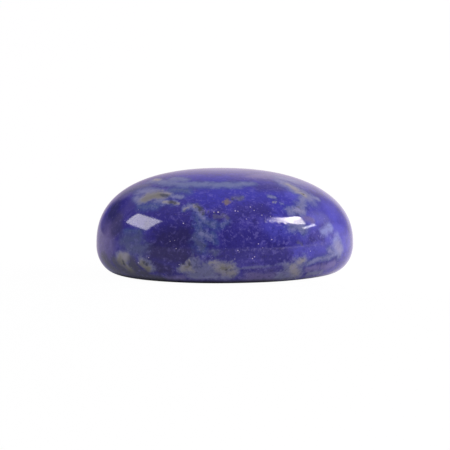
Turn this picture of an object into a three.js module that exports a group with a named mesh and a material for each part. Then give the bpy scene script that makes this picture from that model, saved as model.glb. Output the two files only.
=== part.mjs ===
// An oval cabochon of lapis lazuli: one piece of stone, cut by hand, with a high polished dome,
// a rounded lower edge and a flat base that it rests on. Millimetres, +Z up, the long way along X.
// The origin is the middle of the flat base.

import * as THREE from "three";

// Driving dimensions.
const LENGTH = 30; // end to end, along X
const WIDTH = 22; // front to back, along Y
const HEIGHT = 12; // flat base to crown
const WIDEST_HEIGHT = 3.2; // where the outline is widest, above the base
const FLAT_SHARE = 0.83; // the flat base, as a share of the widest outline
const DOME_FULLNESS = 2.37; // the dome's section: 2 is an ellipse, and more is fuller at the shoulder
const CROWN_LEAN = -0.6; // how far the crown stands off the middle, along X

// How finely the surface is faceted.
const STEPS_ROUND = 80;
const STEPS_DOME = 24;
const STEPS_EDGE = 8;

// One side of the stone's section, from the middle of the base to the crown: x is the share of the
// outline, from 0 on the axis to 1 at the widest line, and y is the height.
function section() {
  const points = [new THREE.Vector2(0, 0)];
  for (let i = 0; i < STEPS_EDGE; i++) {
    const turn = (Math.PI / 2) * (1 - i / STEPS_EDGE);
    const share = FLAT_SHARE + (1 - FLAT_SHARE) * Math.cos(turn);
    points.push(new THREE.Vector2(share, WIDEST_HEIGHT * (1 - Math.sin(turn))));
  }
  for (let i = 0; i < STEPS_DOME; i++) {
    const turn = (Math.PI / 2) * (i / STEPS_DOME);
    const share = Math.cos(turn) ** (2 / DOME_FULLNESS);
    const rise = Math.sin(turn) ** (2 / DOME_FULLNESS);
    points.push(new THREE.Vector2(share, WIDEST_HEIGHT + (HEIGHT - WIDEST_HEIGHT) * rise));
  }
  points.push(new THREE.Vector2(0, HEIGHT));
  return points;
}

// Moves the crown off the middle. The shift grows with the square of the height above the widest
// line, so the outline and the base stay where they are.
function leanCrown(geometry) {
  const position = geometry.getAttribute("position");
  for (let i = 0; i < position.count; i++) {
    const rise = Math.max(0, (position.getZ(i) - WIDEST_HEIGHT) / (HEIGHT - WIDEST_HEIGHT));
    position.setX(i, position.getX(i) + CROWN_LEAN * rise ** 2);
  }
}

function cabochonGeometry() {
  const geometry = new THREE.LatheGeometry(section(), STEPS_ROUND);
  geometry.rotateX(Math.PI / 2);
  geometry.scale(LENGTH / 2, WIDTH / 2, 1);
  leanCrown(geometry);
  geometry.computeVertexNormals();
  return geometry;
}

const polishedLapis = new THREE.MeshStandardMaterial({
  color: 0x3b348c,
  roughness: 0.12,
  metalness: 0,
});

const cabochon = new THREE.Mesh(cabochonGeometry(), polishedLapis);
cabochon.name = "cabochon";

const stone = new THREE.Group();
stone.add(cabochon);

export default stone;
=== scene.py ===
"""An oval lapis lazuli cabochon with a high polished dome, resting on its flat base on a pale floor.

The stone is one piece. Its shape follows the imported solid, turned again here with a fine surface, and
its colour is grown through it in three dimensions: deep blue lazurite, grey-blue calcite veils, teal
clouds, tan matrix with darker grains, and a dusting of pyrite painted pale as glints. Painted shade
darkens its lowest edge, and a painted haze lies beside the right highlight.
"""

import math
from typing import NamedTuple

import bmesh
import bpy
from mathutils import Matrix, Vector, noise
from mathutils.bvhtree import BVHTree


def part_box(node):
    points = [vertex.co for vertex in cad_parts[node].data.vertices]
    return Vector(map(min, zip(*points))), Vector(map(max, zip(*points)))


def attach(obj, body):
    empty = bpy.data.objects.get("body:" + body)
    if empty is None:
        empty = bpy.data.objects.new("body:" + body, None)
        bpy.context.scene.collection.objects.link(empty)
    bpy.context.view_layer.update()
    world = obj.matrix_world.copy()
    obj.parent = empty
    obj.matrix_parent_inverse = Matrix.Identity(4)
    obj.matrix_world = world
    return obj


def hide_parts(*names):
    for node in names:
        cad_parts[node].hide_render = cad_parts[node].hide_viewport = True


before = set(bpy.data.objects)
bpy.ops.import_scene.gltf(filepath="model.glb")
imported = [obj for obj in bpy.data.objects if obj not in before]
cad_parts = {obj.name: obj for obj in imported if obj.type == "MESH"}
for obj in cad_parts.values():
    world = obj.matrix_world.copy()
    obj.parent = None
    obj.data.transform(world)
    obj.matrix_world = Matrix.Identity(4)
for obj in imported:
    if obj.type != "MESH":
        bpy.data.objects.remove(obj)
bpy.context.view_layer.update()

MM = 0.001

# ---------------------------------------------------------------------------------------------------
# Sizes, from the frame where it has them. Lengths are in metres unless a comment says millimetres.

node_low, node_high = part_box("cabochon")
LENGTH = node_high.x - node_low.x
WIDTH = node_high.y - node_low.y
HEIGHT = node_high.z - node_low.z
WIDEST_HEIGHT = 3.2 * MM  # where the outline is widest
FLAT_SHARE = 0.83  # the flat base, as a share of the widest outline
DOME_FULLNESS = 2.37  # the dome's section: 2 is an ellipse, and more is fuller at the shoulder
CROWN_LEAN = -0.6 * MM  # how far the crown stands off the middle, along X

STEPS_ROUND = 288
STEPS_BASE = 10
STEPS_EDGE = 28
STEPS_DOME = 72
HAND_WORK = 0.012 * MM  # how far the hand-cut surface strays from a true oval
HAND_WORK_SPAN = 6 * MM  # and over what length
MERGE_DISTANCE = 1e-7  # points nearer than this are one

# The camera stands low in front of the stone, a little to the left.
CAMERA_AZIMUTH = -5  # degrees
CAMERA_ELEVATION = 7.5  # degrees
CAMERA_DISTANCE = 300 * MM
CAMERA_AIM = Vector((-0.012, 0, 5.446)) * MM
CAMERA_LENS = 205.9  # millimetres, on the sensor below
CAMERA_SENSOR = 36.0
CAMERA_CLIP = (0.01, 20)  # the nearest and the farthest that it sees

FLOOR_SIZE = 6.0
FLOOR_COLOUR = 0.35
FLOOR_BOUNCE_GLOW = 0.65  # how strongly the floor glows with the air's light, as painted bounce light on the stone
FLOOR_GLOW = 1.02  # what the camera sees of a floor that is lit past white
FLOOR_GLOW_SHARE = 0.95
CONTACT_SHADOW = (0.85, 0.925)  # where the painted contact shadow on the floor under the stone ends, in shares of its outline
CONTACT_SHADOW_SHIFT = -0.35 * MM  # and how far it lies to the left of the middle, away from the light

# The air round the stone, and from where to where it changes on the way towards each side.
FRONT_AIR = (0.3, 0.3, 0.33, 1.0)
BACK_AIR = (0.6, 0.505, 0.61, 1.0)
BACK_AIR_REACH = (-0.1, 0.6)
RIGHT_AIR = (1.25, 1.14, 1.27, 1.0)
RIGHT_AIR_AZIMUTH = 115  # degrees
RIGHT_AIR_REACH = (0.28, 0.9)
TOP_AIR = (0.6, 0.57, 0.62, 1.0)
TOP_AIR_REACH = (0.45, 0.95)
# Two flags behind the stone and a glow on the right wall: azimuth, elevation, the angle from there to
# the outer edge and to the inner one, all in degrees, and the air in them.
AIR_PATCHES = (
    (-141, 18, 27, 12, (0.1, 0.1, 0.12, 1.0)),
    (130, 20, 26, 11, (0.68, 0.6, 0.7, 1.0)),
    (96, 31, 13, 4, (2.0, 1.9, 2.1, 1.0)),
)

COOL_WHITE = (0.98, 0.96, 1.0)
NEUTRAL_WHITE = (1.0, 0.97, 0.95)
WARM_WHITE = (1.0, 0.92, 0.86)
BROW_WIDTH = 0.035  # how wide the light along a lamp's head is


def direction(azimuth, elevation):
    """The way from the stone to something at this azimuth and elevation, in degrees: 0 is in front."""
    turn, rise = math.radians(azimuth), math.radians(elevation)
    return Vector((
        math.sin(turn) * math.cos(rise),
        -math.cos(turn) * math.cos(rise),
        math.sin(rise),
    ))


CAMERA_BACK = direction(CAMERA_AZIMUTH, CAMERA_ELEVATION)
CAMERA_PLACE = CAMERA_AIM + CAMERA_BACK * CAMERA_DISTANCE


def add_object(name, data):
    """An object of this data, in the scene."""
    added = bpy.data.objects.new(name, data)
    bpy.context.scene.collection.objects.link(added)
    return added


# ---------------------------------------------------------------------------------------------------
# Shader maths

NOISE_MIDDLE = 0.5
NOISE_GAIN = 4

ALONG_X = (1, 0, 0)
ALONG_Y = (0, 1, 0)
ALONG_Z = (0, 0, 1)


class Field:
    """A value, colour or place that varies over a surface. Ordinary arithmetic on it adds Math nodes."""

    def __init__(self, shader, socket):
        self.shader = shader
        self.socket = socket

    def maths(self, operation, first, second):
        return self.shader.node("ShaderNodeMath", {"operation": operation}, {0: first, 1: second})

    def __add__(self, other):
        return self.maths("ADD", self, other)

    def __radd__(self, other):
        return self.maths("ADD", other, self)

    def __sub__(self, other):
        return self.maths("SUBTRACT", self, other)

    def __rsub__(self, other):
        return self.maths("SUBTRACT", other, self)

    def __mul__(self, other):
        return self.maths("MULTIPLY", self, other)

    def __rmul__(self, other):
        return self.maths("MULTIPLY", other, self)

    def __truediv__(self, other):
        return self.maths("DIVIDE", self, other)

    def __rtruediv__(self, other):
        return self.maths("DIVIDE", other, self)

    def above(self, other):
        """The larger of the two."""
        return self.maths("MAXIMUM", self, other)

    def below(self, other):
        """The smaller of the two."""
        return self.maths("MINIMUM", self, other)


class Shader:
    """A node tree, and the few kinds of node that the scene makes in it."""

    def __init__(self, tree):
        self.tree = tree
        self.tree.nodes.clear()

    def node(self, kind, settings=None, inputs=None, output=0):
        """Adds a node with its settings, then the values or links of its sockets."""
        made = self.tree.nodes.new(kind)
        for name, value in (settings or {}).items():
            setattr(made, name, value)
        for name, value in (inputs or {}).items():
            if isinstance(value, Field):
                self.tree.links.new(value.socket, made.inputs[name])
            else:
                made.inputs[name].default_value = value
        return Field(self, made.outputs[output]) if made.outputs else made

    def vector(self, operation, *places, output=0):
        return self.node(
            "ShaderNodeVectorMath", {"operation": operation}, dict(enumerate(places)), output
        )

    def scaled(self, place, factor):
        return self.node("ShaderNodeVectorMath", {"operation": "SCALE"}, {0: place, "Scale": factor})

    def mix(self, share, first, second):
        """Colours: the first where share is 0, the second where it is 1."""
        return self.node(
            "ShaderNodeMix", {"data_type": "RGBA"}, {0: share, 6: first, 7: second}, output=2
        )

    def ramp(self, value, low, high):
        """0 up to low, 1 from high, and smooth between."""
        return self.node(
            "ShaderNodeMapRange",
            {"interpolation_type": "SMOOTHSTEP"},
            {"Value": value, "From Min": low, "From Max": high},
        )

    def noise(self, place, per_mm, detail, roughness, output=0):
        return self.node(
            "ShaderNodeTexNoise",
            {"noise_dimensions": "3D"},
            {"Vector": place, "Scale": per_mm, "Detail": detail, "Roughness": roughness},
            output,
        )

    def cells(self, place, per_mm, output="Distance"):
        return self.node(
            "ShaderNodeTexVoronoi", {"feature": "F1"}, {"Vector": place, "Scale": per_mm}, output
        )

    def swing(self, place, per_mm, detail, roughness):
        """Noise that swings about 0, mostly between -1 and 1."""
        return (self.noise(place, per_mm, detail, roughness) - NOISE_MIDDLE) * NOISE_GAIN

    def crystals(self, place, per_mm):
        """A random number from -1 to 1 for each crystal of a mosaic."""
        colour = self.cells(place, per_mm, "Color")
        return self.node("ShaderNodeSeparateColor", {}, {"Color": colour}) * 2 - 1

    def position(self):
        """The place on the stone in millimetres."""
        metres = self.node("ShaderNodeTexCoord", output="Object")
        return self.scaled(metres, 1 / MM)

    def how_far(self, place, way):
        """How far a place, or a way, goes in the direction given."""
        return self.vector("DOT_PRODUCT", place, tuple(way), output=1)


def tint(red, green, blue):
    """A linear colour from the three numbers of a paint chart, 0 to 255."""
    shares = [value / 255 for value in (red, green, blue)]
    linear = [s / 12.92 if s <= 0.04045 else ((s + 0.055) / 1.055) ** 2.4 for s in shares]
    return (*linear, 1.0)


def grey(value):
    """A linear colour with as much red as green and blue."""
    return (value, value, value, 1.0)


def new_material(name):
    """A material, and the shader to fill it with."""
    material = bpy.data.materials.new(name)
    material.use_nodes = True
    return material, Shader(material.node_tree)


# ---------------------------------------------------------------------------------------------------
# Where the minerals lie on the side that faces the camera. Each vein has a radius and the places that
# it runs through, in millimetres across and up from where the camera aims, as seen from the camera.

CROWN_BAND = [
    # the long band across the crown
    (0.85, [(-8.6, 5.15), (-6.9, 4.95), (-5.1, 4.75), (-3.0, 4.68), (-0.6, 4.65), (1.6, 4.72)]),
    (0.6, [(1.6, 4.75), (3.2, 4.8)]),
    (0.8, [(-6.2, 5.35), (-4.7, 5.25)]),
]

CALCITE_VEILS = [
    # round the tan patch on the left shoulder
    (0.7, [(-10.2, 3.2), (-9.5, 2.9)]),
    (0.6, [(-10.0, 3.9), (-8.0, 4.0)]),
    (0.5, [(-9.6, 2.9), (-8.4, 3.5), (-6.4, 3.6)]),
    (0.33, [(-6.4, 3.45), (-5.0, 3.3)]),
    # the streaks that run from it to the middle
    (0.44, [(-8.0, 2.8), (-7.2, 2.55), (-6.0, 2.6)]),
    (0.35, [(-4.6, 1.9), (-3.5, 2.2)]),
    (0.42, [(-3.5, 2.1), (-3.2, 1.6), (-2.7, 1.0)]),
    # the arc on the right shoulder
    (1.0, [(6.9, 4.9), (8.0, 4.3), (9.2, 3.6), (9.8, 3.2)]),
    (0.65, [(9.1, 3.2), (9.0, 2.4), (8.8, 1.8)]),
    (0.6, [(7.6, 1.6), (8.7, 1.6)]),
    (0.3, [(8.5, 1.8), (9.4, 2.2)]),
    (0.4, [(9.9, 3.3), (10.8, 3.1)]),
    # under it, right of the middle
    (0.7, [(7.8, -0.2), (8.9, -0.4)]),
    # the crown's pale right
    (0.8, [(6.4, 5.5), (8.2, 5.05)]),
    # the right end, and the band that runs from it
    (0.5, [(12.3, -2.9), (13.2, -3.5)]),
    (0.36, [(13.0, -3.4), (11.4, -3.85), (9.9, -4.3)]),
    # in the teal column
    (0.5, [(-2.7, -1.0), (-1.7, -1.5)]),
    # small grains high on the dome
    (0.26, [(5.1, 3.35), (5.8, 3.2)]),
    (0.2, [(6.5, 2.55), (6.8, 2.4)]),
    (0.2, [(1.6, 3.1), (2.1, 3.3)]),
]

PALE_CALCITE = [
    # the right end
    (0.6, [(13.1, -2.3), (13.4, -2.9)]),
    # low on the right
    (0.5, [(8.5, -4.5), (9.2, -4.0)]),
    (0.6, [(6.3, -6.0), (7.6, -6.0)]),
    # where the arc on the right shoulder ends
    (0.4, [(8.2, 1.7), (9.0, 1.6)]),
    # low in the middle, under the tan
    (0.35, [(-3.9, -6.0), (-1.0, -6.0), (0.6, -5.9)]),
]

BLUE_CALCITE = [
    # the right end
    (0.5, [(11.5, -0.8), (12.2, -0.4)]),
    (0.6, [(12.9, -1.6), (13.2, -2.8)]),
]

# The thin line along the lower edge, right of the middle.
CALCITE_THREAD = [(0.17, [(1.2, -5.2), (4.3, -4.9), (7.0, -4.55)])]

TEAL_CLOUDS = [
    # the column left of the middle
    (0.45, [(-3.3, 0.9), (-3.0, -0.4)]),
    (0.35, [(-0.9, -0.1), (0.3, 0.2)]),
    (0.65, [(-3.0, -0.4), (-3.1, -1.9), (-2.8, -2.8)]),
    (0.5, [(-2.6, 0.4), (-1.1, 0.0)]),
    (0.35, [(-1.4, -1.0), (-1.2, -2.0)]),
    # the left end
    (0.35, [(-11.5, -0.7), (-9.9, -0.8)]),
    # right of the middle
    (0.35, [(8.9, -0.2), (9.0, -0.8)]),
    # under the crown's band, and on the left shoulder
    (0.6, [(-6.2, 4.1), (-4.3, 4.0)]),
    (0.5, [(-9.9, 2.1), (-8.1, 2.1)]),
]

GREY_MATRIX = [
    # low in the middle
    (0.6, [(-3.5, -4.3), (-3.4, -4.9)]),
    (0.85, [(-3.2, -5.2), (-1.6, -5.1)]),
    (0.35, [(-2.5, -4.5), (-1.2, -4.7)]),
    (0.6, [(-0.8, -4.9), (0.6, -5.1), (1.0, -5.4)]),
    (0.6, [(-4.9, -5.3), (-3.6, -5.6)]),
    # low on the right
    (0.75, [(7.4, -5.1), (8.5, -4.8)]),
    (0.8, [(7.8, -5.8), (8.5, -5.5)]),
    (0.35, [(9.6, -5.75), (11.2, -5.45)]),
    (0.5, [(6.5, -6.0), (7.4, -6.0)]),
    # low at the left end
    (0.7, [(-12.3, -3.9), (-11.7, -4.7)]),
    (0.42, [(-9.8, -3.9), (-9.0, -4.4), (-8.5, -5.1)]),
    # in the arc on the right shoulder
    (0.6, [(7.3, 4.8), (8.3, 4.2), (9.3, 3.6)]),
]

TAN_MATRIX = [
    # the left shoulder
    (0.8, [(-9.1, 3.25), (-8.6, 3.4), (-7.7, 3.5)]),
    (0.3, [(-7.6, 3.75), (-6.6, 3.7)]),
    (0.22, [(-7.2, 2.6), (-5.5, 2.5)]),
    (0.2, [(-4.5, 1.85), (-4.2, 2.0)]),
    (0.2, [(-3.6, 2.2), (-3.2, 2.0)]),
    # where the crown's band begins
    (0.35, [(-8.3, 5.3), (-7.8, 5.25)]),
    # in the arc on the right shoulder
    (0.4, [(7.4, 4.7), (8.3, 4.2)]),
    (0.4, [(8.7, 3.8), (9.2, 3.5)]),
    (0.16, [(5.6, 2.75), (5.9, 2.7)]),
    # low at the left end
    (0.6, [(-12.3, -4.0), (-11.6, -3.8)]),
    (0.42, [(-12.1, -4.4), (-11.4, -4.9), (-10.9, -5.3)]),
    (0.38, [(-9.7, -4.2), (-8.8, -5.0)]),
    # low in the middle
    (0.5, [(-4.8, -5.1), (-4.1, -5.0)]),
    (0.25, [(-4.5, -4.7), (-4.1, -4.2)]),
    (0.65, [(-0.7, -5.05), (0.5, -5.1)]),
    (0.5, [(0.0, -5.5), (0.9, -5.6)]),
    (0.25, [(-1.6, -4.4), (-0.9, -4.3)]),
    # low on the right
    (0.35, [(8.7, -4.3), (9.1, -4.1)]),
    (0.6, [(7.9, -5.0), (8.1, -5.7)]),
]

# The middles of the tan patches.
KHAKI_CORES = [
    (0.8, [(-8.9, 3.2), (-8.5, 3.35), (-7.9, 3.45)]),
    (0.6, [(-12.2, -4.2), (-11.6, -4.8), (-11.0, -5.3)]),
    (0.45, [(-9.6, -4.4), (-8.9, -5.1)]),
    (0.25, [(-0.3, -5.0), (0.3, -5.0)]),
    (0.22, [(-4.6, -5.0), (-4.3, -4.8)]),
    (0.22, [(8.9, 3.65)]),
]

DULL_TEAL = [
    # the left end
    (0.8, [(-11.6, -1.8), (-10.2, -1.6)]),
    (0.8, [(-11.3, -2.6), (-9.6, -2.7)]),
    # high on the left shoulder
    (0.9, [(-11.6, 3.9), (-9.4, 4.5)]),
    # in the column left of the middle
    (0.5, [(-3.4, -1.4), (-2.9, -2.3)]),
    (0.3, [(-1.6, -3.0), (-1.1, -3.2)]),
]

UMBER_SMUDGES = [
    # beside the rusty grain on the dome, and where the streaks end
    (0.38, [(0.9, 3.1), (1.9, 3.2)]),
    (0.3, [(-3.3, 2.3), (-3.0, 2.1)]),
    (0.25, [(-1.2, 1.0), (-0.3, 1.1), (0.2, 0.8)]),
    # on the right
    (0.22, [(8.7, 1.95)]),
    (0.2, [(8.5, -2.1), (8.9, -2.2)]),
]

SHADED_MATRIX = [
    # along the lower edge at the left end
    (0.7, [(-12.9, -4.3), (-12.3, -5.0), (-11.0, -5.7)]),
    (0.8, [(-14.1, -3.9), (-13.4, -4.8), (-12.4, -5.4)]),
    (0.5, [(-10.4, -5.3), (-9.2, -5.6)]),
    (0.55, [(-11.0, -5.7), (-8.8, -6.0), (-7.4, -6.3)]),
    (0.6, [(-10.8, -4.3), (-10.3, -5.0), (-9.9, -5.4)]),
]

# Dark grains, most of them in the tan and the streaks.
OLIVE_GRAINS = [
    (0.32, [(-7.4, 3.5), (-6.9, 3.45)]),
    (0.26, [(-6.5, 2.6), (-5.9, 2.55)]),
    (0.15, [(-4.5, 1.7)]),
    (0.32, [(-2.95, 1.95), (-2.75, 1.6)]),
    (0.2, [(-2.65, 1.3)]),
    (0.14, [(-2.0, 1.6)]),
    (0.12, [(-1.3, 1.4)]),
    (0.12, [(-0.75, 1.6)]),
    (0.24, [(-4.2, -4.45)]),
    (0.16, [(-4.9, -4.55)]),
    (0.22, [(-11.8, -4.3)]),
    (0.2, [(-11.7, -4.6)]),
    (0.22, [(-9.3, -4.25)]),
    (0.2, [(-9.0, -4.55)]),
    (0.3, [(-11.0, -4.7)]),
    (0.15, [(-2.5, -2.5)]),
    (0.14, [(9.1, 3.6)]),
    (0.13, [(-1.3, -4.75)]),
    (0.13, [(0.0, -5.2)]),
    (0.16, [(0.9, 3.0)]),
]

RUST_GRAINS = [(0.36, [(0.15, 2.7)])]

GREY_VIOLET = [
    # the left end
    (1.6, [(-13.6, -0.4), (-13.9, -2.6)]),
    (0.7, [(-13.9, -3.2), (-13.6, -3.5)]),
]

LILAC_CLOUDS = [
    # the crown's right
    (1.0, [(3.6, 5.75), (6.2, 5.65), (8.2, 5.1)]),
    # along the lower edge, from left to right
    (0.35, [(-6.6, -6.15), (-5.0, -6.2)]),
    (0.6, [(-3.9, -5.8), (-1.5, -5.85), (0.4, -5.8)]),
    (0.9, [(3.3, -5.95), (4.3, -6.05), (7.1, -5.9)]),
    (0.35, [(9.6, -5.2), (10.8, -5.0)]),
    (0.4, [(11.3, -4.9), (12.6, -4.5)]),
    # right of the middle
    (0.3, [(9.4, 0.8), (10.2, 0.5)]),
    # the left shoulder
    (1.0, [(-12.2, 3.3), (-11.0, 4.0)]),
]

INDIGO_DEPTHS = [
    (1.35, [(-7.0, -1.8), (-4.9, -1.4)]),
    (1.4, [(-8.2, -3.0), (-5.1, -3.4)]),
    (0.85, [(-8.7, -4.5), (-6.7, -5.2)]),
]

NIGHT_END = [
    (0.9, [(-12.9, 1.9), (-13.1, 1.4)]),
    (0.9, [(-12.7, 0.7), (-12.7, -0.3)]),
]

DEEP_ZONES = [
    (0.9, [(0.3, 0.1), (0.4, -1.8)]),
    (0.9, [(-0.6, -3.5), (0.8, -3.3), (2.6, -2.6)]),
    (0.8, [(2.0, -1.3), (3.4, -1.2)]),
    (0.6, [(1.8, 1.8), (2.5, 1.5)]),
    (1.8, [(-7.2, 1.5), (-4.8, 0.8)]),
    (0.9, [(-11.6, 2.2), (-10.4, 1.4), (-8.4, 1.5)]),
    (0.7, [(3.2, 1.8), (4.6, 1.7)]),
    (0.7, [(4.0, 4.4), (6.2, 4.3)]),
    (0.25, [(2.2, -5.35), (6.8, -5.2)]),
]

# Where the last polish was lighter, and the grains stand in low relief.
PEBBLED_POLISH = [(1.2, [(3.4, 0.8), (5.2, 0.5), (6.2, -0.1)])]

BRIGHT_LAZURITE = [
    (2.2, [(-2.3, 3.5), (3.5, 3.9)]),
    (2.2, [(4.4, 4.1), (7.4, 3.4)]),
    (1.2, [(-5.2, 5.45), (-0.4, 5.4)]),
    (1.4, [(5.9, 2.2), (7.6, 2.5)]),
    (1.6, [(9.8, 2.8), (11.0, 1.8), (12.8, 0.6)]),
    (1.2, [(12.2, 2.6), (13.1, 1.4), (13.7, 0.4)]),
]

LAVENDER_ZONES = [
    (1.2, [(12.4, -1.9), (13.9, -2.1)]),
    (0.7, [(12.9, -0.3), (13.7, -0.8)]),
    (0.9, [(8.8, -3.2), (11.3, -2.9)]),
    # painted haze beside the right highlight
    (0.9, [(9.6, 0.9), (10.4, 0.3)]),
    (1.1, [(5.7, -0.3), (8.8, -0.9)]),
    (0.8, [(12.1, 2.0), (12.6, 1.0)]),
    (0.6, [(7.5, 3.6), (8.2, 3.3)]),
]

# Pyrite specks, painted pale as glints.
PYRITE_GLINT_SPECKS = [
    (0.1, [(-4.85, 0.2)]),
    (0.11, [(-0.8, 1.5)]),
    (0.07, [(-1.3, 1.5)]),
    (0.1, [(1.2, 1.65)]),
    (0.07, [(1.5, 1.6)]),
    (0.08, [(2.95, 2.1)]),
    (0.07, [(3.4, 1.7)]),
    (0.07, [(4.3, 1.15)]),
    (0.07, [(5.3, 1.0)]),
    (0.06, [(2.5, 0.7)]),
    (0.09, [(5.45, -1.7)]),
    (0.09, [(3.9, -2.2)]),
    (0.08, [(1.5, -2.95)]),
    (0.05, [(1.65, -3.15)]),
    (0.08, [(3.45, -3.7)]),
    (0.09, [(3.2, -3.9)]),
    (0.05, [(4.4, -2.65)]),
    (0.06, [(-6.4, -1.9)]),
    (0.07, [(-5.7, -2.75)]),
    (0.08, [(-8.9, -3.8)]),
    (0.09, [(-10.1, -4.4)]),
    (0.07, [(-5.35, -4.6)]),
    (0.07, [(9.95, -3.05)]),
]

# Paint chart colours of the minerals, of the painted pyrite glints and of the painted edge shade.
INDIGO = tint(35, 27, 92)
DEEP_BLUE = tint(39, 31, 124)
ULTRAMARINE = tint(60, 52, 150)
BRIGHT_BLUE = tint(44, 41, 158)
LAVENDER = tint(75, 74, 190)
DUSKY_VIOLET = tint(84, 75, 132)
LILAC = tint(104, 95, 152)
TEAL = tint(52, 67, 136)
TEAL_GREY = tint(72, 84, 132)
BAND_GREY = tint(92, 103, 152)
CALCITE_GREY = tint(109, 114, 160)
CALCITE_PALE = tint(132, 132, 172)
CALCITE_BLUE = tint(124, 132, 192)
MATRIX_GREY = tint(104, 107, 146)
TAN = tint(136, 134, 143)
KHAKI = tint(107, 106, 99)
UMBER = tint(82, 82, 112)
SHADE = tint(66, 66, 78)
OLIVE = tint(53, 57, 70)
RUST = tint(114, 98, 98)
DULL = tint(70, 76, 123)
NIGHT = tint(40, 37, 97)
GRAIN_LIGHT = tint(140, 132, 212)
GRAIN_DARK = tint(22, 15, 72)
# painted contact shade along the lowest edge
EDGE_SHADE_COLOUR = tint(26, 24, 38)
# pyrite, painted pale as glints
PYRITE_GLINT = tint(205, 195, 225)


class Coat(NamedTuple):
    """One coat of a mineral's colour over what lies under it."""

    start: float  # how far inside a vein it starts: the vein's middle line is 1, and its edge is 0
    full: float  # where it is full
    share: float  # how much of it shows there
    paint: tuple
    broken_by: tuple = ()  # a noise that breaks it further, and how much of that


class Mineral(NamedTuple):
    """Where a mineral lies, how its edge is broken, and its coats from the first to the last."""

    veins: list
    place: str  # the waver that its veins follow
    edge: tuple  # the noise that breaks its edge, and how much of it
    coats: list
    wild: tuple = ()  # what it follows on the far sides, and how much rarer than that it is


MINERALS = {
    # Blue lazurite, from bright ultramarine to the darkest.
    "bright": Mineral(
        BRIGHT_LAZURITE, "broad", ("drift", 0.5), [Coat(-0.6, 0.8, 0.9, BRIGHT_BLUE)], ("bright", 0)
    ),
    # lavender lazurite, with one vein of painted highlight haze beside the right highlight
    "lavender": Mineral(LAVENDER_ZONES, "broad", ("drift", 0.5), [Coat(-0.9, 0.9, 0.6, LAVENDER)]),
    "dusky": Mineral(GREY_VIOLET, "broad", ("drift", 0.5), [Coat(-0.9, 0.7, 0.9, DUSKY_VIOLET)]),
    "lilac": Mineral(LILAC_CLOUDS, "broad", ("drift", 0.5), [Coat(-0.9, 0.7, 0.9, LILAC)]),
    "deep": Mineral(DEEP_ZONES, "broad", ("drift", 0.5), [Coat(-0.9, 0.7, 0.9, DEEP_BLUE)]),
    "indigo": Mineral(
        INDIGO_DEPTHS, "broad", ("drift", 0.5), [Coat(-0.8, 0.8, 1, INDIGO)], ("indigo", 0)
    ),
    "night": Mineral(NIGHT_END, "broad", ("drift", 0.5), [Coat(-0.9, 0.5, 1, NIGHT)]),
    # Teal clouds and calcite, broken by the blue grains between theirs.
    "cloud": Mineral(
        TEAL_CLOUDS,
        "ragged",
        ("rough", 1),
        [Coat(-0.9, 0.7, 0.9, TEAL), Coat(0.1, 1.3, 1, TEAL_GREY, ("grain", 0.5))],
        ("teal", 0),
    ),
    "dull": Mineral(DULL_TEAL, "ragged", ("rough", 1), [Coat(-0.9, 0.9, 1, DULL)]),
    "band": Mineral(
        CROWN_BAND,
        "broad",
        ("rough", 0.4),
        [Coat(-0.3, 0.1, 0.5, TEAL), Coat(-0.1, 0.9, 1, BAND_GREY, ("drift", 0.25))],
    ),
    "veil": Mineral(
        CALCITE_VEILS,
        "ragged",
        ("rough", 1),
        [Coat(-0.9, 0.2, 0.5, TEAL), Coat(-0.4, 1.1, 1, CALCITE_GREY)],
        ("veil", 0),
    ),
    "blob": Mineral(BLUE_CALCITE, "ragged", ("rough", 1), [Coat(-0.8, 0.9, 1, CALCITE_BLUE)]),
    "pale": Mineral(
        PALE_CALCITE,
        "ragged",
        ("rough", 1),
        [Coat(-0.9, 0.4, 0.6, CALCITE_GREY), Coat(-0.2, 1, 1, CALCITE_PALE)],
    ),
    "thread": Mineral(
        CALCITE_THREAD, "broad", ("mottle", 0.4), [Coat(-0.6, 0.9, 0.55, CALCITE_GREY)]
    ),
    # Grey matrix with tan in it, khaki in the tan, and umber, olive and rusty grains.
    "matrix": Mineral(
        GREY_MATRIX, "ragged", ("rough", 1), [Coat(-0.7, 0.7, 0.95, MATRIX_GREY)], ("matrix", 0)
    ),
    "tan": Mineral(
        TAN_MATRIX,
        "ragged",
        ("rough", 1),
        [Coat(-0.9, 0.2, 0.5, MATRIX_GREY), Coat(-0.4, 0.8, 1, TAN)],
        ("matrix", 0.5),
    ),
    "khaki": Mineral(
        KHAKI_CORES, "ragged", ("rough", 1), [Coat(-0.4, 1, 0.9, KHAKI)], ("matrix", 1.1)
    ),
    "umber": Mineral(UMBER_SMUDGES, "ragged", ("rough", 1), [Coat(-0.8, 0.9, 0.7, UMBER)]),
    "shade": Mineral(SHADED_MATRIX, "broad", ("rough", 0.6), [Coat(-0.8, 0.8, 0.85, SHADE)]),
    "olive": Mineral(OLIVE_GRAINS, "ragged", ("grain", 0.4), [Coat(-0.6, 0.7, 0.9, OLIVE)]),
    "rust": Mineral(RUST_GRAINS, "ragged", ("grain", 0.5), [Coat(-0.5, 0.5, 0.9, RUST)]),
}

# Noises: how many waves they have per millimetre, their detail and their roughness.
BROAD_WAVER = (0.5, 2, 0.5)
CLOSE_WAVER = (2.2, 3, 0.6)
MOOD = (0.3, 3, 0.5)
DRIFT = (1.0, 4, 0.6)
MOTTLE = (2.1, 4, 0.6)
GRAIN = (3.6, 3, 0.65)
FINE = (7.5, 2, 0.6)
PEBBLES = (4.2, 1, 0.4)
CRYSTALS = (4.5, 2.3)  # crystals per millimetre, of the small kind and of the large
CRYSTAL_SHARE = 0.5  # how much of each kind

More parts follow.
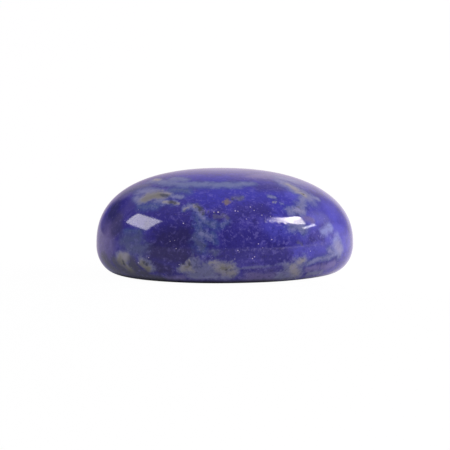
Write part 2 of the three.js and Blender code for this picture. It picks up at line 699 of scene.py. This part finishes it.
# How far the wavers move an edge, and how much of each noise a rough edge has. The edges are sharpest
# along the flanks: where there are two numbers, the flanks add the second to the first.
FLANKS = (5.5, 9.8)  # from where to where along Y the flanks begin, in millimetres
BROAD_REACH = 0.7
CLOSE_REACH = (0.3, 0.4)
EDGE_DRIFT = 0.4
EDGE_GRAIN = (0.4, 0.6)
EDGE_MOTTLE = 0.4
EDGE_CRYSTALS = 0.25

# The minerals of the sides that face away follow noise alone: its waves per millimetre, detail and
# roughness, the level that the mineral starts at, and how steeply it sets in from there.
WILD_FLAT = {
    "veil": ((0.22, 4, 0.55), 0.59, 9),
    "matrix": ((0.33, 3, 0.55), 0.6, 12),
}
WILD_EVEN = {
    "teal": ((0.27, 3, 0.5), 0.6, 10),
    "bright": ((0.2, 2, 0.5), 0.52, 9),
    "indigo": ((0.17, 2, 0.5), 0.54, 12),
}
FLATTENED = (0.75, 1.0, 1.6)  # the flat ones lie in layers: their waves are long along X
FAR_SIDE = (0, 3)  # from where to where along Y they take over, in millimetres
HIDDEN = 4  # how far they are held down in front

# The blue ground: how much of each noise it has, and from where to where it goes from deep to light.
BLUE_DRIFT = 0.8
BLUE_MOTTLE = 0.5
BLUE_REACH = (-0.8, 0.8)

# The sugary grain: lilac flecks, dark gaps between them, and dusky smears.
CRISP = (0.35, 0.6)  # how much of it there is all over, and how much more along the flanks
INDIGO_CALM = 0.35  # how much less of it there is in the indigo
INDIGO_REACH = (-0.8, 0.8)
SUGAR_GRAIN = 0.4
SUGAR_MOTTLE = 0.4
SUGAR_REACH = (0.15, 1.1)
SMEAR_DRIFT = 0.5
SMEAR_REACH = (0.2, 1.2)
SMEARS = 0.25
GAPS = 0.45
FLECKS = 0.28

# The edge of the flat base: painted contact shade, which fades towards the light, and a rougher finish
# there.
EDGE_SHADE_RISE = (0.7, 0.15)  # how high up it starts and is whole, in millimetres
EDGE_SHADE_FADE = (3.5, 8.5)  # from where to where along X it fades, in millimetres
EDGE_SHADE_FADED = 0.8  # and how much of it is gone there
EDGE_SHADE_SHARE = 0.9
GROUND_ROUGHNESS = 0.4

# Pyrite, painted pale as glints: single specks, and a dust of finer ones.
SPECK_REACH = (0.1, 0.6)  # how far inside a speck it starts, and how far it is full
DUST_PER_MM = 2.4
DUST_SIZE = (0.2, 0.1)  # how far from its middle a grain ends, and how far it is whole
DUST_REACH = (0.4, 0.8)
DUST_SHARE = 0.6

# The polish.
SMOOTHEST = 0.07
GRAIN_ROUGHNESS = 0.05  # what the dullest grains add to it
GRAIN_REACH = (0.0, 1.2)
GLASSINESS = 1.5
PIT_DEPTH = 0.0008 * MM  # how far the polish dips between the grains
CRYSTAL_RELIEF = 0.2
PEBBLE_RELIEF = 0.3
PEBBLED_RELIEF = 6  # how much more of it there is where the polish was lighter
PEBBLED_REACH = (-0.5, 0.6)


# ---------------------------------------------------------------------------------------------------
# The stone's finish


def insideness(shader, place, veins, seen):
    """How far inside the nearest vein a place is: 1 on its middle line and 0 at its edge."""
    best = None
    for radius, stops in veins:
        path = [seen(*stop) for stop in stops]
        near = None
        for start, end in zip(path, path[1:] or path):
            along = end - start
            offset = shader.vector("SUBTRACT", place, tuple(start))
            if along.length > 0:
                reach = along / along.length_squared
                share = shader.how_far(offset, reach)
                held = shader.node("ShaderNodeClamp", {}, {"Value": share})
                offset = shader.vector("SUBTRACT", offset, shader.scaled(tuple(along), held))
            away = shader.vector("LENGTH", offset, output=1)
            near = away if near is None else near.below(away)
        inside = 1 - near / radius
        best = inside if best is None else best.above(inside)
    return best


class Texture:
    """The noises that break up the stone's colour, and where they move its veins to."""

    def __init__(self, shader):
        self.here = shader.position()
        self.depth = shader.how_far(self.here, ALONG_Y)
        flank = shader.node("ShaderNodeMath", {"operation": "ABSOLUTE"}, {0: self.depth})
        self.sharp = shader.ramp(flank, *FLANKS)

        # Two sizes of waver, so that no mineral has a drawn edge.
        middle = (NOISE_MIDDLE,) * 3
        broad = shader.vector("SUBTRACT", shader.noise(self.here, *BROAD_WAVER, "Color"), middle)
        close = shader.vector("SUBTRACT", shader.noise(self.here, *CLOSE_WAVER, "Color"), middle)
        self.wavering = shader.vector("ADD", self.here, shader.scaled(broad, BROAD_REACH))
        moved = shader.scaled(close, self.sharpened(*CLOSE_REACH))
        self.ragged = shader.vector("ADD", self.wavering, moved)
        self.places = {"broad": self.wavering, "ragged": self.ragged}

        self.mood = shader.swing(self.here, *MOOD)
        self.drift = shader.swing(self.here, *DRIFT)
        self.mottle = shader.swing(self.here, *MOTTLE)
        self.grain = shader.swing(self.here, *GRAIN)
        small, large = [shader.crystals(self.ragged, per_mm) * CRYSTAL_SHARE for per_mm in CRYSTALS]
        self.mosaic = small + large
        edge_grain = self.mottle * EDGE_MOTTLE + self.mosaic * EDGE_CRYSTALS
        self.noises = {
            "drift": self.drift,
            "mottle": self.mottle,
            "grain": self.grain,
            "rough": self.drift * EDGE_DRIFT + edge_grain * self.sharpened(*EDGE_GRAIN),
        }

    def sharpened(self, all_over, on_flanks):
        """An amount that is larger along the flanks, where the edges are sharpest."""
        return all_over + self.sharp * on_flanks


def wild_minerals(shader, texture):
    """How far inside the minerals that follow noise alone a place is."""
    hidden = (1 - shader.ramp(texture.depth, *FAR_SIDE)) * HIDDEN
    flattened = shader.vector("MULTIPLY", texture.wavering, FLATTENED)
    wilds = {}
    for place, kinds in ((flattened, WILD_FLAT), (texture.wavering, WILD_EVEN)):
        for name, (waves, level, steepness) in kinds.items():
            wilds[name] = (shader.noise(place, *waves) - level) * steepness - hidden
    return wilds


def mineral_colour(shader, texture, seen):
    """The blue ground with the coats of every mineral over it, and how far inside the indigo it is."""
    wilds = wild_minerals(shader, texture)
    blues = texture.mood + texture.drift * BLUE_DRIFT + texture.mottle * BLUE_MOTTLE
    colour = shader.mix(shader.ramp(blues, *BLUE_REACH), DEEP_BLUE, ULTRAMARINE)
    inside = {}
    for name, mineral in MINERALS.items():
        reach = insideness(shader, texture.places[mineral.place], mineral.veins, seen)
        if mineral.wild:
            kind, rarer = mineral.wild
            reach = reach.above(wilds[kind] - rarer)
        breaker, amount = mineral.edge
        inside[name] = reach + texture.noises[breaker] * amount
        for coat in mineral.coats:
            reach = inside[name]
            if coat.broken_by:
                breaker, amount = coat.broken_by
                reach = reach + texture.noises[breaker] * amount
            cover = shader.ramp(reach, coat.start, coat.full) * coat.share
            colour = shader.mix(cover, colour, coat.paint)
    return colour, inside["indigo"]


def sugared(shader, texture, colour, indigo):
    """The colour with its sugary grain, which stands out most along the flanks, least in the indigo."""
    calm = shader.ramp(indigo, *INDIGO_REACH) * INDIGO_CALM
    crisp = texture.sharpened(*CRISP) - calm
    sugar = texture.mosaic + texture.grain * SUGAR_GRAIN + texture.mottle * SUGAR_MOTTLE
    flecks = shader.ramp(sugar, *SUGAR_REACH) * crisp
    gaps = shader.ramp(0 - sugar, *SUGAR_REACH) * crisp
    smears = shader.ramp(texture.mottle - texture.drift * SMEAR_DRIFT, *SMEAR_REACH)
    colour = shader.mix(smears * SMEARS, colour, DUSKY_VIOLET)
    colour = shader.mix(gaps * GAPS, colour, GRAIN_DARK)
    return shader.mix(flecks * FLECKS, colour, GRAIN_LIGHT)


def painted_edge_shade(shader, texture):
    """1 on the edge of the flat base, where contact shade is painted and fades towards the light, and 0
    above it.
    """
    faded = shader.ramp(shader.how_far(texture.here, ALONG_X), *EDGE_SHADE_FADE) * EDGE_SHADE_FADED
    return shader.ramp(shader.how_far(texture.here, ALONG_Z), *EDGE_SHADE_RISE) * (1 - faded)


def pyrite(shader, texture, seen):
    """1 on the specks of pyrite, which lie flush in the polish and are painted pale as glints."""
    near_a_grain = shader.ramp(shader.cells(texture.here, DUST_PER_MM), *DUST_SIZE)
    dust = shader.ramp(shader.swing(texture.here, *FINE), *DUST_REACH) * near_a_grain
    specks = insideness(shader, texture.here, PYRITE_GLINT_SPECKS, seen)
    return shader.ramp(specks, *SPECK_REACH).above(dust * DUST_SHARE)


def relief(shader, texture, seen):
    """How high the polish stands: it dips a little between the grains."""
    lighter_polish = insideness(shader, texture.wavering, PEBBLED_POLISH, seen)
    pebbled = shader.ramp(lighter_polish, *PEBBLED_REACH)
    bumps = shader.swing(texture.here, *PEBBLES) * (PEBBLE_RELIEF + pebbled * PEBBLED_RELIEF)
    return texture.mosaic * CRYSTAL_RELIEF + bumps


def lapis(seen):
    """The polished stone. seen turns a place in the camera's plane of aim into one on the stone."""
    material, shader = new_material("lapis_polish")
    texture = Texture(shader)
    colour, indigo = mineral_colour(shader, texture, seen)
    colour = sugared(shader, texture, colour, indigo)
    edge_shade = painted_edge_shade(shader, texture)
    # painted contact shade along the lowest edge, fading towards the light
    colour = shader.mix(edge_shade * EDGE_SHADE_SHARE, colour, EDGE_SHADE_COLOUR)
    # pyrite specks and dust, painted pale as glints
    colour = shader.mix(pyrite(shader, texture, seen), colour, PYRITE_GLINT)

    duller = shader.ramp(texture.grain, *GRAIN_REACH) * GRAIN_ROUGHNESS
    height = relief(shader, texture, seen)
    pits = shader.node(
        "ShaderNodeBump", {}, {"Strength": 1.0, "Distance": PIT_DEPTH, "Height": height}
    )
    surface = shader.node(
        "ShaderNodeBsdfPrincipled",
        {},
        {
            "Base Color": colour,
            "Roughness": SMOOTHEST + duller + edge_shade * GROUND_ROUGHNESS,
            "IOR": GLASSINESS,
            "Normal": pits,
        },
    )
    shader.node("ShaderNodeOutputMaterial", {}, {"Surface": surface})
    return material


# ---------------------------------------------------------------------------------------------------
# The stone's shape


def section():
    """One side of the stone: from the middle of the base, out, round the lower edge and up the dome.

    x is the share of the outline, from 0 on the axis to 1 at the widest line, and z is the height.
    """
    points = [(FLAT_SHARE * step / STEPS_BASE, 0.0) for step in range(STEPS_BASE)]
    for step in range(STEPS_EDGE):
        turn = math.pi / 2 * (1 - step / STEPS_EDGE)
        share = FLAT_SHARE + (1 - FLAT_SHARE) * math.cos(turn)
        points.append((share, WIDEST_HEIGHT * (1 - math.sin(turn))))
    for step in range(STEPS_DOME):
        turn = math.pi / 2 * step / STEPS_DOME
        share = math.cos(turn) ** (2 / DOME_FULLNESS)
        rise = math.sin(turn) ** (2 / DOME_FULLNESS)
        points.append((share, WIDEST_HEIGHT + (HEIGHT - WIDEST_HEIGHT) * rise))
    points.append((0.0, HEIGHT))
    return points


def make_stone():
    mesh = bmesh.new()
    profile = [mesh.verts.new((share, 0, height)) for share, height in section()]
    edges = [mesh.edges.new(pair) for pair in zip(profile, profile[1:])]
    bmesh.ops.spin(
        mesh,
        geom=profile + edges,
        cent=(0, 0, 0),
        axis=(0, 0, 1),
        angle=2 * math.pi,
        steps=STEPS_ROUND,
        use_merge=True,
    )
    bmesh.ops.remove_doubles(mesh, verts=mesh.verts, dist=MERGE_DISTANCE)
    bmesh.ops.scale(mesh, vec=(LENGTH / 2, WIDTH / 2, 1), verts=mesh.verts)
    bmesh.ops.recalc_face_normals(mesh, faces=mesh.faces)
    mesh.normal_update()
    for vert in mesh.verts:
        rise = max(0.0, (vert.co.z - WIDEST_HEIGHT) / (HEIGHT - WIDEST_HEIGHT))
        vert.co.x += CROWN_LEAN * rise**2
        if vert.co.z > 0:
            vert.co += vert.normal * HAND_WORK * noise.noise(vert.co / HAND_WORK_SPAN)
    for face in mesh.faces:
        face.smooth = True
    data = bpy.data.meshes.new("cabochon_stone")
    mesh.to_mesh(data)
    surface = BVHTree.FromBMesh(mesh)
    mesh.free()
    across = direction(CAMERA_AZIMUTH + 90, 0)
    upright = CAMERA_BACK.cross(across)

    def seen(right, up):
        """Where the line of sight through a place in the plane of aim meets the stone, in mm."""
        sight = CAMERA_AIM + (across * right + upright * up) * MM - CAMERA_PLACE
        return surface.ray_cast(CAMERA_PLACE, sight)[0] / MM

    data.materials.append(lapis(seen))
    return add_object("cabochon_stone", data)


# ---------------------------------------------------------------------------------------------------
# The studio


def make_camera():
    data = bpy.data.cameras.new("camera")
    data.lens = CAMERA_LENS
    data.sensor_width = CAMERA_SENSOR
    data.clip_start, data.clip_end = CAMERA_CLIP
    camera = add_object("camera", data)
    camera.location = CAMERA_PLACE
    camera.rotation_euler = (-CAMERA_BACK).to_track_quat("-Z", "Y").to_euler()
    bpy.context.scene.camera = camera


class Lamp(NamedTuple):
    """A rectangular lamp. Its width goes from a start to an end, and its height from a foot to a head."""

    name: str
    place: tuple  # azimuth and elevation in degrees, and distance
    facing: tuple  # azimuth and elevation of its back, in degrees
    roll: float  # how far its face is turned, in degrees
    width: float
    height: float
    radiance: float
    colour: tuple
    panes: tuple = ((1, -1, 0),)  # shares of the light, and from where to where each sets in
    lean: float = 0  # how far those places move along its width from the head to the foot
    brow: float = 0  # the share of the light along its head
    edges: tuple = (0.008,) * 4  # how far in from its start, end, foot and head it is soft
    taper: tuple = (0, 0)  # how far in its foot and head have come at its end, in shares of its height


LAMPS = (
    Lamp(
        name="left_softbox",
        place=(-80.5, 33.3, 0.446),
        facing=(-48.8, -3),
        roll=-22.5,
        width=0.332,
        height=0.194,
        radiance=7.6,
        colour=NEUTRAL_WHITE,
        panes=((1, -0.04, 0.01),),
        lean=-0.2,
        edges=(0.008, 0.02, 0.012, 0.012),
        taper=(0.09, 0.145),
    ),
    Lamp(
        name="right_softbox",
        place=(62, 32.6, 0.47),
        facing=(37.9, 117.2),
        roll=27.6,
        width=0.118,
        height=0.54,
        radiance=23,
        colour=WARM_WHITE,
        panes=((0.55, 0.2, 0.33), (0.5, 0.46, 0.66), (-0.35, 0.9, 1.25)),
        lean=1.9,
        brow=0.35,
        edges=(0.008, 0.012, 0.008, 0.008),
    ),
    Lamp(
        name="strip_lamp",
        place=(70.4, 24.4, 0.45),
        facing=(70.4, 24.4),
        roll=9.2,
        width=0.126,
        height=0.031,
        radiance=13,
        colour=COOL_WHITE,
    ),
)


def lamp_glow(shader, lamp):
    """How bright each place on the lamp's face is."""
    spot = shader.node("ShaderNodeNewGeometry", output="Parametric")
    along = shader.how_far(spot, ALONG_X)
    aside = shader.how_far(spot, ALONG_Y)
    brow_share = BROW_WIDTH / lamp.height
    glow = shader.ramp(aside, 1 - 2 * brow_share, 1 - brow_share) * lamp.brow
    reach = along + (1 - aside) * lamp.lean
    for share, low, high in lamp.panes:
        glow = glow + shader.ramp(reach, low, high) * share
    foot_taper, head_taper = lamp.taper
    foot = aside - along * foot_taper
    head = 1 - aside - along * head_taper
    sides = ((along, lamp.width), (1 - along, lamp.width), (foot, lamp.height), (head, lamp.height))
    for (side, length), edge in zip(sides, lamp.edges):
        glow = glow * shader.ramp(side, 0, edge / length)
    return glow


def make_lamp(lamp):
    data = bpy.data.lights.new(lamp.name, "AREA")
    data.shape = "RECTANGLE"
    data.size = lamp.width
    data.size_y = lamp.height
    data.energy = lamp.radiance * math.pi * lamp.width * lamp.height
    data.color = lamp.colour
    data.use_nodes = True
    shader = Shader(data.node_tree)
    light = shader.node("ShaderNodeEmission", {}, {"Strength": lamp_glow(shader, lamp)})
    shader.node("ShaderNodeOutputLight", {}, {"Surface": light})

    facing_azimuth, facing_elevation = lamp.facing
    out = direction(facing_azimuth, facing_elevation)
    across = direction(facing_azimuth + 90, 0)
    upright = out.cross(across)
    roll = Matrix.Rotation(math.radians(lamp.roll), 3, "Z")
    face = Matrix((across, upright, out)).transposed() @ roll
    azimuth, elevation, distance = lamp.place
    made = add_object(lamp.name, data)
    made.matrix_world = Matrix.Translation(direction(azimuth, elevation) * distance) @ face.to_4x4()
    made.visible_camera = False


def around(shader, way):
    """What surrounds the stone in a direction: dim in front, rosy behind and bright on the right."""
    behind = shader.how_far(way, ALONG_Y)
    rightward = shader.how_far(way, direction(RIGHT_AIR_AZIMUTH, 0))
    air = shader.mix(shader.ramp(behind, *BACK_AIR_REACH), FRONT_AIR, BACK_AIR)
    return shader.mix(shader.ramp(rightward, *RIGHT_AIR_REACH), air, RIGHT_AIR)


def make_floor():
    mesh = bmesh.new()
    bmesh.ops.create_grid(mesh, x_segments=1, y_segments=1, size=FLOOR_SIZE / 2)
    data = bpy.data.meshes.new("floor")
    mesh.to_mesh(data)
    mesh.free()
    material, shader = new_material("pale_floor")
    place = shader.node("ShaderNodeTexCoord", output="Object")
    way = shader.vector("NORMALIZE", place)
    # painted contact shadow: the floor's glow fades out round the stone's footprint
    offset = shader.vector("SUBTRACT", place, (CONTACT_SHADOW_SHIFT, 0, 0))
    footprint = shader.vector("DIVIDE", offset, (LENGTH / 2, WIDTH / 2, 1))
    clear = shader.ramp(shader.vector("LENGTH", footprint, output=1), *CONTACT_SHADOW)
    paper = shader.node("ShaderNodeBsdfDiffuse", {}, {"Color": grey(FLOOR_COLOUR)})
    # painted bounce light: the floor glows with the air's light, brighter towards the right
    shine = clear * FLOOR_BOUNCE_GLOW
    lit = shader.node("ShaderNodeEmission", {}, {"Color": around(shader, way), "Strength": shine})
    bright = shader.node("ShaderNodeAddShader", {}, {0: paper, 1: lit})
    glow = shader.node("ShaderNodeEmission", {}, {"Strength": FLOOR_GLOW})
    seen = shader.node("ShaderNodeLightPath", output="Is Camera Ray")
    surface = shader.node(
        "ShaderNodeMixShader", {}, {0: seen * FLOOR_GLOW_SHARE, 1: bright, 2: glow}
    )
    shader.node("ShaderNodeOutputMaterial", {}, {"Surface": surface})
    data.materials.append(material)
    add_object("floor", data)


def make_world():
    world = bpy.data.worlds.new("studio")
    world.use_nodes = True
    bpy.context.scene.world = world
    shader = Shader(world.node_tree)
    way = shader.node("ShaderNodeTexCoord", output="Generated")
    height = shader.how_far(way, ALONG_Z)
    air = around(shader, way)
    for azimuth, elevation, outer, inner, patch_air in AIR_PATCHES:
        towards = shader.how_far(way, direction(azimuth, elevation))
        share = shader.ramp(towards, math.cos(math.radians(outer)), math.cos(math.radians(inner)))
        air = shader.mix(share, air, patch_air)
    air = shader.mix(shader.ramp(height, *TOP_AIR_REACH), air, TOP_AIR)
    seen = shader.node("ShaderNodeLightPath", output="Is Camera Ray")
    air = shader.mix(seen, air, grey(FLOOR_GLOW))
    light = shader.node("ShaderNodeBackground", {}, {"Color": air})
    shader.node("ShaderNodeOutputWorld", {}, {"Surface": light})


make_camera()
make_world()
make_floor()
for lamp in LAMPS:
    make_lamp(lamp)
bpy.context.scene.view_settings.view_transform = "Standard"

stone = make_stone()
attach(stone, "root")
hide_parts("cabochon")
